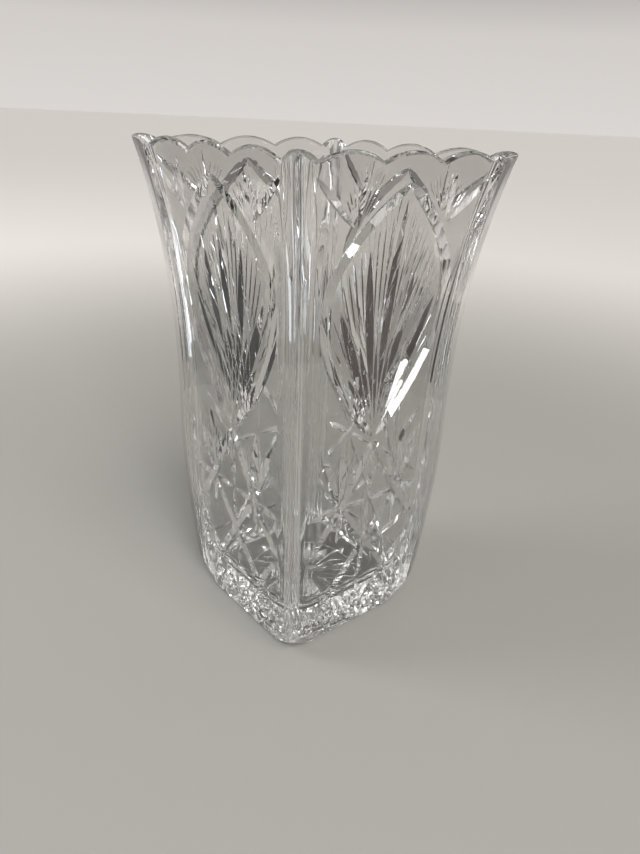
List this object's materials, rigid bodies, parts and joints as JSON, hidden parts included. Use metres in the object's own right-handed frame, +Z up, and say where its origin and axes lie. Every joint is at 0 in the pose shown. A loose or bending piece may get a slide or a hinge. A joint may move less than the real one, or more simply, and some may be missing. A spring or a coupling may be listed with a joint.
{
  "type": "flower vase",
  "caption": "Square flared vase of clear cut crystal with a scalloped rim, fluted corners, fan and oval cuts and a solid foot.",
  "frame": {"origin": "centre of the underside, on the surface that the vase stands on", "axes": "+Z up along the vase's axis, with the four faces square to X and Y"},
  "size_m": [0.128, 0.128, 0.25],
  "materials": {
    "crystal": "polished clear crystal with mitre-cut grooves"
  },
  "bodies": {
    "root": {"foot_block": "crystal", "front_panel": "crystal", "right_panel": "crystal", "back_panel": "crystal", "left_panel": "crystal", "front_right_corner": "crystal", "back_right_corner": "crystal", "back_left_corner": "crystal", "front_left_corner": "crystal"}
  },
  "joints": []
}
